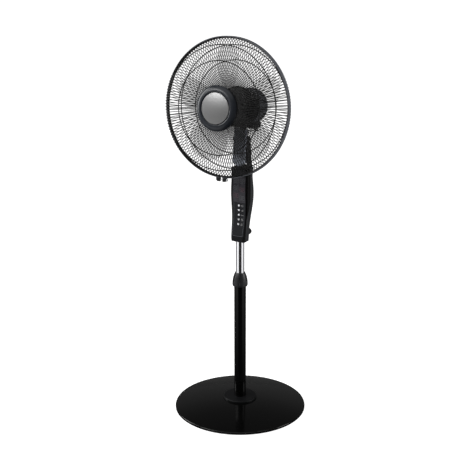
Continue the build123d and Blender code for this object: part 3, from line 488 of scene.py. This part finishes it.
def panel_front_painted_shade():
    finish = new_finish("panel_front_plastic_painted_shade")
    grain, cloud = mould_grain(finish)
    place = finish.place()
    off_middle = abs(finish.part("X", place))
    # Painted shade: this mask is 1 on the face and falls to 0 on the sides, which get a darker black. It also
    # makes the sides glossier.
    lit_face = 1 - off_middle.rise(face_half_width - face_blend, face_blend)
    above = finish.part("Z", place).rise(panel_foot, face_blend)
    shade = lit_face * (foot_share + above * (1 - foot_share))
    charcoal = finish.mix(cloud, grey(0.012, cool), grey(0.016, cool))
    return finish.surface(
        base_color=finish.mix(shade, grey(0.0010, cool), charcoal),
        roughness=0.22 + lit_face * 0.22 + grain * 0.08,
        specular_ior_level=0.10,
        normal=finish.bump(grain, 0.08, 0.0002),
    )


own_finishes["control_front_cover"] = panel_front_painted_shade()
print("charcoal face", round(2000 * face_half_width, 1), "mm wide")

# %% [markdown]
# The cage's wires are dipped in black, and the hoop that clamps its halves is a satin charcoal with two
# black clip lugs. The ring's charcoal is made light enough to carry the highlight along its outer band, so
# it is partly a painted highlight. The lugs stand out of the ring, so the distance from the motor's axis
# tells them apart.

# %% Wires and hoop
hoop_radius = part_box("grille_hoop")[1][0]
lug_blend = 0.001


def from_axis(finish):
    """Distance of a place from the motor's axis, in metres."""
    offset = finish.vector("SUBTRACT", finish.place(), hub_point)
    return finish.vector("LENGTH", finish.vector("CROSS_PRODUCT", offset, blow), output="Value")


def hoop_coat_with_painted_highlight():
    finish = new_finish("hoop_coat_painted_highlight")
    grain, cloud = mould_grain(finish)
    lugs = from_axis(finish).rise(hoop_radius, lug_blend)
    # Partly painted highlight: this charcoal is lighter than the coat, for the light on the ring's outer band.
    charcoal = finish.mix(cloud, grey(0.080, cool), grey(0.10, cool))
    return finish.surface(
        base_color=finish.mix(lugs, charcoal, grey(0.006, cool)),
        roughness=0.34 + grain * 0.10 + cloud * 0.06,
        specular_ior_level=0.25,
        normal=finish.bump(grain, 0.10, 0.0002),
    )


def wire_coat():
    finish = new_finish("black_wire_coat")
    drip = finish.noise(160.0)
    return finish.surface(
        base_color=finish.mix(drip, grey(0.004), grey(0.008)),
        roughness=0.30 + drip * 0.12,
        specular_ior_level=0.20,
    )


finishes["black_wire"] = wire_coat()
own_finishes["grille_hoop"] = hoop_coat_with_painted_highlight()
print("hoop", round(2000 * hoop_radius, 1), "mm across")

# %% [markdown]
# The bright pieces are metal: chrome on the sliding tube, a satin disc in the badge, silver buttons, and
# raw steel, iron, copper and bronze inside. A metal's colour is the colour of its reflection, so Metallic
# is high and the base colour light. Rolled, turned and cast metals differ in the scale of their marks.

# %% Metals
chrome_tint = (1, 1, 1.03)


def polished_chrome():
    finish = new_finish("polished_chrome")
    streak = finish.noise(60.0)
    return finish.surface(
        base_color=finish.mix(streak, grey(0.74, chrome_tint), grey(0.80, chrome_tint)),
        metallic=1.0,
        roughness=0.04 + streak * 0.05,
    )


def worked_metal(name, low, high, tint, shine, scale):
    """Metal with fine marks from rolling, turning or casting."""
    finish = new_finish(name)
    marks = finish.noise(scale, 4.0, 0.65)
    return finish.surface(
        base_color=finish.mix(marks, grey(low, tint), grey(high, tint)),
        metallic=1.0,
        roughness=shine + marks * 0.2,
        normal=finish.bump(marks, 0.12, 0.0003),
    )


def turned_badge():
    """Satin disc with faint circular marks about the motor's axis."""
    finish = new_finish("turned_badge_metal")
    along_radius = {"W": from_axis(finish) * 2200.0, "Scale": 1.0}
    rings = finish.add("ShaderNodeTexNoise", {"noise_dimensions": "1D"}, along_radius)
    return finish.surface(
        base_color=finish.mix(rings, grey(0.20), grey(0.245)),
        metallic=0.70,
        roughness=0.28 + rings * 0.10,
        normal=finish.bump(rings, 0.05, 0.0002),
    )


finishes |= {
    "chrome": polished_chrome(),
    "badge_metal": turned_badge(),
    "steel": worked_metal("zinc_plated_steel", 0.42, 0.58, (1, 1, 1.02), shine=0.26, scale=800.0),
    "cast_iron": worked_metal("raw_cast_iron", 0.07, 0.12, (1, 0.98, 0.95), shine=0.6, scale=260.0),
    "cast_alloy": worked_metal("die_cast_alloy", 0.10, 0.14, (0.95, 1.0, 1.05), shine=0.5, scale=500.0),
    "lamination_steel": worked_metal(
        "stacked_steel_sheets", 0.16, 0.24, (1, 0.97, 0.90), shine=0.45, scale=1500.0
    ),
    "copper": worked_metal("lacquered_copper", 0.40, 0.55, (1.0, 0.48, 0.25), shine=0.3, scale=1200.0),
    "bronze": worked_metal("sintered_bronze", 0.32, 0.42, (1.0, 0.75, 0.40), shine=0.5, scale=1800.0),
    "silver_button": worked_metal("metallised_plastic", 0.70, 0.82, (1, 1, 1.04), shine=0.30, scale=600.0),
}
print("finishes so far:", len(finishes))

# %% [markdown]
# What is left is neither black nor metal: clear smoke-grey blades, which only tint what lies behind them,
# the dark display window, rubber feet, nylon guides and the green board behind the buttons.

# %% Blades, window and small mouldings


def smoke_blade():
    finish = new_finish("smoke_blade_plastic")
    cloud = finish.noise(14.0)
    return finish.surface(
        base_color=finish.mix(cloud, grey(0.012), grey(0.020)),
        roughness=0.16 + cloud * 0.06,
        alpha=0.17 + cloud * 0.06,
    )


def tinted_window():
    finish = new_finish("tinted_window")
    haze = finish.noise(120.0)
    return finish.surface(
        base_color=finish.mix(haze, (0.0135, 0.0125, 0.017, 1), (0.017, 0.0155, 0.0215, 1)),
        roughness=0.24 + haze * 0.08,
        specular_ior_level=0.3,
    )


def plain_moulding(name, colour, shine, scale=700.0):
    """Grained plastic or rubber, a fifth darker in the hollows of its grain, which is painted shade."""
    finish = new_finish(name)
    grain = finish.noise(scale, 3.0)
    dark = tuple(0.8 * share for share in colour)
    return finish.surface(
        base_color=finish.mix(grain, (*dark, 1), (*colour, 1)),
        roughness=shine + grain * 0.12,
        normal=finish.bump(grain, 0.08, 0.0002),
    )


def circuit_board():
    finish = new_finish("circuit_board")
    tracks = finish.add("ShaderNodeTexBrick", {}, {"Vector": finish.place(), "Scale": 160.0})
    lines = finish.add("ShaderNodeSeparateColor", {}, {0: tracks})
    return finish.surface(
        base_color=finish.mix(lines, (0.010, 0.080, 0.030, 1), (0.020, 0.140, 0.055, 1)),
        roughness=0.35 + lines * 0.1,
    )


finishes |= {
    "smoke_blade": smoke_blade(),
    "display_window": tinted_window(),
    "board_green": circuit_board(),
    "rubber": plain_moulding("soft_rubber", (0.018, 0.018, 0.018), 0.75, 1400.0),
    "grey_nylon": plain_moulding("grey_nylon", (0.30, 0.30, 0.28), 0.5),
    "gear_case": plain_moulding("gear_case_plastic", (0.55, 0.54, 0.49), 0.5),
    "display_block": plain_moulding("display_block_plastic", (0.10, 0.012, 0.016), 0.5),
}
print("finishes in all:", len(finishes) + len(own_finishes))

# %% [markdown]
# Each piece of the model takes the finish that the record gives it. A solid model's mesh is loose
# triangles with their own normals, so it already shades smoothly and only its material changes.

# %% Finishes on the CAD pieces
for part in frame["record"]["subparts"]:
    piece = nodes[part["node"]]
    piece.data.materials.clear()
    piece.data.materials.append(own_finishes.get(part["node"], finishes[part["material_slot"]]))

# %% [markdown]
# The cage is the part of the fan that repeats: many thin wires, each bent over the same two arcs, and a
# few rings that hold them. Drawing one wire and turning copies of it about the motor's axis is what a
# wire-forming shop does, and Geometry Nodes does the same. The modelled wires are solid but faceted, so
# rounder ones take their place. A Recipe is one tree, with named inputs for its sizes.

# %% Geometry Nodes helper


class Recipe:
    """A Geometry Nodes tree with named inputs."""

    def __init__(self, name):
        self.tree = bpy.data.node_groups.new(name, "GeometryNodeTree")
        self.start = self.tree.nodes.new("NodeGroupInput")
        self.end = self.tree.nodes.new("NodeGroupOutput")
        self.tree.interface.new_socket("Geometry", in_out="OUTPUT", socket_type="NodeSocketGeometry")
        self.values = {}

    def size(self, name, value, kind="NodeSocketFloat"):
        """A named input, and the value that the modifier gives it."""
        socket = self.tree.interface.new_socket(name, in_out="INPUT", socket_type=kind)
        self.values[socket.identifier] = value
        return self.start.outputs[name]

    def add(self, kind, settings=None, inputs=None):
        """One node: a list of inputs goes into one socket."""
        node = self.tree.nodes.new(kind)
        for name, setting in (settings or {}).items():
            setattr(node, name, setting)
        for name, value in (inputs or {}).items():
            socket = node.inputs[name]
            for each in value if isinstance(value, list) else [value]:
                if isinstance(each, bpy.types.NodeSocket):
                    self.tree.links.new(each, socket)
                else:
                    socket.default_value = each
        return node.outputs[0]

    def make(self, name, geometry, material, place):
        """Runs the tree once and keeps its result as a plain mesh in place."""
        real = self.add("GeometryNodeRealizeInstances", {}, {"Geometry": geometry})
        painted = self.add("GeometryNodeSetMaterial", {}, {"Geometry": real, "Material": material})
        self.tree.links.new(painted, self.end.inputs[0])
        holder = bpy.data.objects.new(name + "_recipe", bpy.data.meshes.new(name + "_recipe"))
        scene.collection.objects.link(holder)
        modifier = holder.modifiers.new("recipe", "NODES")
        modifier.node_group = self.tree
        for identifier, value in self.values.items():
            modifier[identifier] = value
        mesh = plain_mesh(holder)
        mesh.name = name
        mesh.transform(place)
        piece = bpy.data.objects.new(name, mesh)
        scene.collection.objects.link(piece)
        return piece


def plain_mesh(holder):
    """What an object looks like with its modifiers or bevel, as a mesh, without the object."""
    graph = bpy.context.evaluated_depsgraph_get()
    mesh = bpy.data.meshes.new_from_object(holder.evaluated_get(graph), depsgraph=graph)
    bpy.data.objects.remove(holder)
    mesh.polygons.foreach_set("use_smooth", [True] * len(mesh.polygons))
    return mesh


print("recipes make plain, smooth meshes")

# %% [markdown]
# One cage half is drawn flat, as a radius and a distance to the front, in metres: a long shallow arc from
# the badge to the shoulder, then a tighter arc that meets it without a kink and runs to the rim. Circles
# through known points give both, and the ring wires lie against the inside of the radial wires.

# %% The cage's sizes and arcs
wire_count = 144
wire_radius = 0.0010
ring_wire_radius = 0.0014
rim_wire_radius = 0.0020
seat = 0.00005
cage_middle = 0.104
rim_radius = 0.1954
shoulder_radius = 0.168
outer_ring_radius = 0.176


def circle_centre(a, b, c):
    """Centre of the circle through three points."""
    u, v = a - c, b - c
    uu, vv = u.length_squared, v.length_squared
    return c + Vector((v.y * uu - u.y * vv, u.x * vv - v.x * uu)) / (2 * u.cross(v))


def bend_centre(flat_centre, shoulder, rim):
    """Centre of the arc from shoulder to rim that carries on smoothly from the long arc."""
    outwards = (shoulder - flat_centre).normalized()
    chord = rim - shoulder
    return shoulder + outwards * chord.length_squared / (2 * chord.dot(outwards))


def arc_middle(centre, start, end):
    halfway = (start + end) / 2 - centre
    return centre + halfway.normalized() * (start - centre).length


def outer_ring_point(centre, shoulder):
    """The point of the second arc at the outer ring's radius."""
    rise = math.sqrt((shoulder - centre).length_squared - (outer_ring_radius - centre.x) ** 2)
    return Vector((outer_ring_radius, centre.y + math.copysign(rise, shoulder.y - centre.y)))


def against_wires(point, centre):
    """Where a ring wire lies on the inside of the radial wires, at a point of their arc."""
    return point + (centre - point).normalized() * (wire_radius + ring_wire_radius + seat)


print("cage rim", round(2000 * rim_radius, 1), "mm across")

# %% [markdown]
# A tree sweeps a round wire along the two arcs and turns copies of it about the axis. Rings are circles
# swept round a circle, and the rear half has a pressed plate at its hub, which is a rounded rectangle
# swept the same way. Few sides are enough for wires this thin.

# %% Wires, rings and plate
wire_sides, wire_steps = 6, 14
ring_sides, ring_steps = 10, 160
plate_edge = 0.0007


def circle(recipe, steps, radius):
    inputs = {"Resolution": steps, "Radius": radius}
    return recipe.add("GeometryNodeCurvePrimitiveCircle", {}, inputs)


def lifted(recipe, geometry, front):
    inputs = {"Geometry": geometry, "Translation": (0.0, 0.0, front)}
    return recipe.add("GeometryNodeTransform", {}, inputs)


def radial_wires(recipe, arcs):
    """Copies of one wire about the axis, each along two arcs given by three points."""
    count = recipe.size("Wires", wire_count, "NodeSocketInt")
    section = circle(recipe, wire_sides, recipe.size("Wire radius", wire_radius))
    drawn = []
    for arc in arcs:
        ends = {key: (point.x, 0.0, point.y) for key, point in zip(("Start", "Middle", "End"), arc)}
        inputs = {"Resolution": wire_steps, **ends}
        drawn.append(recipe.add("GeometryNodeCurveArc", {"mode": "POINTS"}, inputs))
    path = recipe.add("GeometryNodeJoinGeometry", {}, {"Geometry": drawn})
    sweep = {"Curve": path, "Profile Curve": section, "Fill Caps": True}
    wire = recipe.add("GeometryNodeCurveToMesh", {}, sweep)
    turn = recipe.add("ShaderNodeMath", {"operation": "DIVIDE"}, {0: math.tau, 1: count})
    index = recipe.add("GeometryNodeInputIndex")
    angle = recipe.add("ShaderNodeMath", {"operation": "MULTIPLY"}, {0: index, 1: turn})
    rotation = recipe.add("ShaderNodeCombineXYZ", {}, {"Z": angle})
    points = recipe.add("GeometryNodePoints", {}, {"Count": count})
    copies = {"Points": points, "Instance": wire, "Rotation": rotation}
    return recipe.add("GeometryNodeInstanceOnPoints", {}, copies)


def ring_wire(recipe, place, thickness):
    """A closed round wire about the axis, at a radius and a front distance."""
    sweep = {
        "Curve": circle(recipe, ring_steps, place.x),
        "Profile Curve": circle(recipe, ring_sides, thickness),
    }
    return lifted(recipe, recipe.add("GeometryNodeCurveToMesh", {}, sweep), place.y)


def hub_plate(recipe, inner, outer, rear, front):
    """Pressed plate about the axis, with its edges rounded."""
    sides = {"Width": outer - inner, "Height": front - rear}
    section = recipe.add("GeometryNodeCurvePrimitiveQuadrilateral", {}, sides)
    rounding = {"Curve": section, "Radius": plate_edge, "Count": 3}
    rounded = recipe.add("GeometryNodeFilletCurve", {"mode": "POLY"}, rounding)
    sweep = {"Curve": circle(recipe, ring_steps, (inner + outer) / 2), "Profile Curve": rounded}
    return lifted(recipe, recipe.add("GeometryNodeCurveToMesh", {}, sweep), (rear + front) / 2)


print("wires have", wire_sides, "sides, rings", ring_sides)

# %% [markdown]
# The two halves differ in their points only. The front one has a ring at its hub, where the badge holds
# it, and the rear one has the plate that the cage's nut presses against the motor.

# %% Both halves of the cage
front_hub, front_ring = Vector((0.056, 0.1564)), Vector((0.1315, 0.1530))
front_shoulder = Vector((shoulder_radius, 0.1445))
plate_inner, plate_outer, plate_rear, plate_front = 0.0243, 0.0590, 0.0440, 0.0460
rear_hub, rear_ring = Vector((0.054, plate_front + wire_radius + seat)), Vector((0.133, 0.0556))
rear_shoulder = Vector((shoulder_radius, 0.0630))


def cage_half(name, node, side, hub, ring, shoulder, ringed, plate=None):
    """One half: side is 1 at the front and -1 at the rear, and ringed are points with a ring wire."""
    rim_front = cage_middle + side * (seat + rim_wire_radius)
    rim = Vector((rim_radius, rim_front + side * (rim_wire_radius + wire_radius + seat)))
    flat_centre = circle_centre(hub, ring, shoulder)
    centre = bend_centre(flat_centre, shoulder, rim)
    recipe = Recipe(name)
    arcs = ((hub, ring, shoulder), (shoulder, arc_middle(centre, shoulder, rim), rim))
    pieces = [radial_wires(recipe, arcs)]
    places = [against_wires(point, flat_centre) for point in ringed]
    places.append(against_wires(outer_ring_point(centre, shoulder), centre))
    thickness = recipe.size("Ring wire radius", ring_wire_radius)
    pieces += [ring_wire(recipe, place, thickness) for place in places]
    rim_place = Vector((rim_radius, rim_front))
    pieces.append(ring_wire(recipe, rim_place, recipe.size("Rim wire radius", rim_wire_radius)))
    if plate:
        pieces.append(hub_plate(recipe, *plate))
    whole = recipe.add("GeometryNodeJoinGeometry", {}, {"Geometry": pieces})
    cage = recipe.make(name, whole, finishes["black_wire"], cage_frame)
    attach(cage, "head")
    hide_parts(node)
    print(name, len(cage.data.polygons), "faces, rings at", [round(1000 * place.x, 2) for place in places])


cage_half("front_cage", "front_grille", 1, front_hub, front_ring, front_shoulder, (front_hub, front_ring))
rear_plate = (plate_inner, plate_outer, plate_rear, plate_front)
cage_half("rear_cage", "rear_grille", -1, rear_hub, rear_ring, rear_shoulder, (rear_ring,), rear_plate)

# %% [markdown]
# The control panel carries thin printed marks: a plain sign beside each button, and dim segments behind
# the display window. Ink has hardly any height, but a flat picture would need an image, so each mark is
# a thin closed shape. A ray sent at the housing finds the curved surface that the mark lies on.

# %% Printing on a surface
ink_height = 0.00012
ray_start = -1.0


def carrier_of(*names):
    """What a ray can be sent at to find the surface of some pieces."""
    verts, faces = [], []
    for name in names:
        mesh = nodes[name].data
        first = len(verts)
        verts += [vertex.co.copy() for vertex in mesh.vertices]
        faces += [tuple(first + i for i in face.vertices) for face in mesh.polygons]
    return BVHTree.FromPolygons(verts, faces)


housing_front = carrier_of("control_front_cover", "display_lens")


def on_front(x, z):
    """The point of the housing at a place across and a height, and the way it faces."""
    return housing_front.ray_cast(Vector((x, ray_start, z)), Vector((0, 1, 0)))[:2]


def printed(name, outlines, finish):
    """Thin marks on the housing, from outlines in metres across and up."""
    mesh = bmesh.new()
    for outline in outlines:
        spots = [on_front(x, z) for x, z in outline]
        face = [mesh.verts.new(spot + normal * ink_height) for spot, normal in spots]
        back = [mesh.verts.new(spot - normal * ink_height) for spot, normal in spots]
        mesh.faces.new(face)
        mesh.faces.new(back[::-1])
        for i in range(len(face)):
            after = (i + 1) % len(face)
            mesh.faces.new((face[i], back[i], back[after], face[after]))
    bmesh.ops.recalc_face_normals(mesh, faces=mesh.faces)
    data = bpy.data.meshes.new(name)
    mesh.to_mesh(data)
    mesh.free()
    data.materials.append(finish)
    piece = bpy.data.objects.new(name, data)
    scene.collection.objects.link(piece)
    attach(piece, "mast")
    print(name, len(outlines), "marks")


print("the panel's foot is at", [round(x, 4) for x in on_front(0, panel_foot)[0]])

# %% [markdown]
# Every mark is made of two strokes: a straight bar with pointed ends, as a display's segments have, and a
# band that follows part of a circle. Both are outlines across and up, before they are laid on the housing.

# %% Strokes
stretches = 10


def bar(x, z, along, up, width):
    """Straight stroke with pointed ends, from a start point and a run."""
    start, run = Vector((x, z)), Vector((along, up))
    end = start + run
    tip = run.normalized() * width / 2
    side = Vector((-tip.y, tip.x))
    corners = (start, start + tip + side, end - tip + side, end, end - tip - side, start + tip - side)
    return [tuple(corner) for corner in corners]


def band(x, z, radius, width, start, stop):
    """Part of a ring, as short stretches that meet, between two angles in degrees."""
    angles = [math.radians(start + (stop - start) * i / stretches) for i in range(stretches + 1)]
    inner, outer = (
        [(x + reach * math.cos(angle), z + reach * math.sin(angle)) for angle in angles]
        for reach in (radius - width / 2, radius + width / 2)
    )
    return [[outer[i], outer[i + 1], inner[i + 1], inner[i]] for i in range(stretches)]


print("a bar has", len(bar(0, 0, 1, 0, 0.1)), "corners")

# %% [markdown]
# The signs beside the buttons are the usual ones for on and off, speed, swing, timer and mode. Each is
# about five millimetres across and drawn about its own middle, in shares of half its height.

# %% Button signs
sign_shift = 0.0108
sign = 0.0028
stroke = 0.0008


def power_sign(x, z):
    """An open ring with a bar in its gap."""
    return band(x, z, sign, stroke, 125, 415) + [bar(x, z + 0.3 * sign, 0, sign, stroke)]


def speed_sign(x, z):
    """Four bars, each taller than the one before."""
    steps = [(step - 1.5, 0.7 + 0.45 * step) for step in range(4)]
    return [bar(x + place * sign / 1.6, z - sign, 0, tall * sign, stroke) for place, tall in steps]


def swing_sign(x, z):
    """An arrow that points both ways."""
    marks = [bar(x - 1.3 * sign, z, 2.6 * sign, 0, stroke)]
    for way in (-1, 1):
        for slope in (1, -1):
            marks.append(bar(x + way * 1.4 * sign, z, -way * 0.7 * sign, slope * 0.6 * sign, stroke))
    return marks


def timer_sign(x, z):
    """A clock's face with two hands."""
    hands = [bar(x, z, 0, 0.75 * sign, stroke), bar(x, z, 0.6 * sign, 0, stroke)]
    return band(x, z, sign, stroke, 0, 360) + hands


def mode_sign(x, z):
    """Three level bars."""
    return [bar(x - 1.2 * sign, z + row * 0.75 * sign, 2.4 * sign, 0, stroke) for row in (-1, 0, 1)]


def grey_ink():
    """Printed grey that is a little worn in places."""
    finish = new_finish("grey_printing_ink")
    worn = finish.noise(900.0)
    return finish.surface(base_color=finish.mix(worn, grey(0.26), grey(0.34)), roughness=0.5 + worn * 0.1)


signs = {
    "power": power_sign,
    "speed": speed_sign,
    "swing": swing_sign,
    "timer": timer_sign,
    "mode": mode_sign,
}
sign_marks = []
for name, drawn in signs.items():
    low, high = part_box(f"{name}_button")
    sign_marks += drawn(sign_shift, (low[2] + high[2]) / 2)
printed("button_signs", sign_marks, grey_ink())

# %% [markdown]
# An unlit display still shows its segments faintly through the dark window. Pairs of seven-segment figures
# are enough: two in a dull red and four in a fainter grey, in two columns, with every segment drawn.

# %% Display segments
lens_low, lens_high = (Vector(corner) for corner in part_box("display_lens"))
lens_middle = (lens_low.z + lens_high.z) / 2
figure_width, figure_height, segment = 0.0062, 0.0125, 0.0013
left_column, right_column = -0.0095, 0.0105
# Columns, and heights above the middle of the window
red_pairs = ((right_column, 0.001), (left_column, -0.018))
grey_pairs = ((left_column, 0.026), (right_column, 0.026), (left_column, 0.005), (right_column, -0.024))


def seven_segments(x, z):
    """The seven bars of one figure, about its middle."""
    left, right = x - figure_width / 2, x + figure_width / 2
    half = figure_height / 2
    gap = segment / 5
    bars = [bar(left + gap, z + row * half, figure_width - 2 * gap, 0, segment) for row in (-1, 0, 1)]
    for side in (left, right):
        bars += [bar(side, z + low + gap, 0, half - 2 * gap, segment) for low in (-half, 0.0)]
    return bars


def figure_pairs(places):
    """Two figures side by side at each place in the window."""
    step = 0.7 * figure_width
    bars = []
    for x, z in places:
        bars += seven_segments(x - step, lens_middle + z) + seven_segments(x + step, lens_middle + z)
    return bars


def unlit(name, low, high):
    """Segments that are switched off, seen through the window."""
    finish = new_finish(name)
    return finish.surface(base_color=finish.mix(finish.noise(300.0), low, high), roughness=0.3)


dull_red = unlit("unlit_segments", (0.042, 0.014, 0.024, 1), (0.056, 0.018, 0.030, 1))
faint_grey = unlit("unlit_pointers", grey(0.036, cool), grey(0.046, cool))
printed("display_figures", figure_pairs(red_pairs), dull_red)
printed("display_pointers", figure_pairs(grey_pairs), faint_grey)

# %% [markdown]
# A fine raised line runs round the panel under the buttons. It is a path on the same surface with a thin
# round bead along it, so a curve with a bevel is the short way to make it.

# %% Raised line round the panel
bead_radius = 0.0004
line_half_width = 0.017
line_top = lens_low.z - 0.002
line_step = 0.002
corner_radius = 0.003
corner_steps = 8


def panel_path():
    """Round-cornered line down one side, across and up the other."""
    straight = int((line_top - panel_foot - corner_radius) / line_step)
    points = [(-line_half_width, line_top - line_step * i) for i in range(straight)]
    middle_x, middle_z = corner_radius - line_half_width, panel_foot + corner_radius
    for step in range(corner_steps + 1):
        angle = math.radians(180 + 90 * step / corner_steps)
        along, down = corner_radius * math.cos(angle), corner_radius * math.sin(angle)
        points.append((middle_x + along, middle_z + down))
    return points + [(-x, z) for x, z in reversed(points)]


curve = bpy.data.curves.new("panel_line", "CURVE")
curve.dimensions = "3D"
curve.bevel_depth = bead_radius
curve.bevel_resolution = 2
curve.use_fill_caps = True
path = panel_path()
line = curve.splines.new("POLY")
line.points.add(len(path) - 1)
for point, (x, z) in zip(line.points, path):
    point.co = (*on_front(x, z)[0], 1.0)
holder = bpy.data.objects.new("panel_line_path", curve)
scene.collection.objects.link(holder)
bead_mesh = plain_mesh(holder)
bead_mesh.materials.clear()
bead_mesh.materials.append(grained_plastic("panel_line_plastic", 0.10, 0.13, cool, shine=0.35, gloss=0.3))
panel_line = bpy.data.objects.new("panel_line", bead_mesh)
scene.collection.objects.link(panel_line)
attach(panel_line, "mast")
print("panel line", len(bead_mesh.polygons), "faces")

# %% [markdown]
# The Standard view transform shows each colour about as it was written, which suits a white ground.

# %% View transform
scene.view_settings.view_transform = "Standard"
